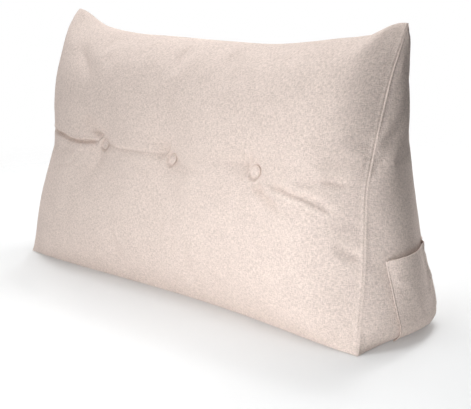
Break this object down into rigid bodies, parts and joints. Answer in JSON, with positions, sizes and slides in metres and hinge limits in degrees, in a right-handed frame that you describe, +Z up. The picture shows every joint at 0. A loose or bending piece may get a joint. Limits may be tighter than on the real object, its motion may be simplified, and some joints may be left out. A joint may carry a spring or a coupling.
{
  "type": "wedge cushion",
  "caption": "Long wedge-shaped stuffed back cushion with a flat base, raised top corners, a tufted front with covered buttons and an open patch pocket on one end.",
  "frame": {"origin": "on the surface that the base rests on, at the middle of the cushion's length, on the line between the front and back bottom edges that the fitting of the picture gave", "axes": "+Z up; +X along the length towards the end with the pocket; the tufted front faces -Y"},
  "size_m": [0.9539, 0.2601, 0.503],
  "materials": {
    "cover_cloth": "matt beige heathered linen-look weave",
    "pocket_cloth": "matt beige heathered linen-look weave, with a stitched hem at the mouth",
    "button_cloth": "matt beige weave stretched over a domed button"
  },
  "bodies": {
    "root": {"cushion": "cover_cloth", "side_pocket": "pocket_cloth", "button_left": "button_cloth", "button_middle": "button_cloth", "button_right": "button_cloth"}
  },
  "joints": []
}
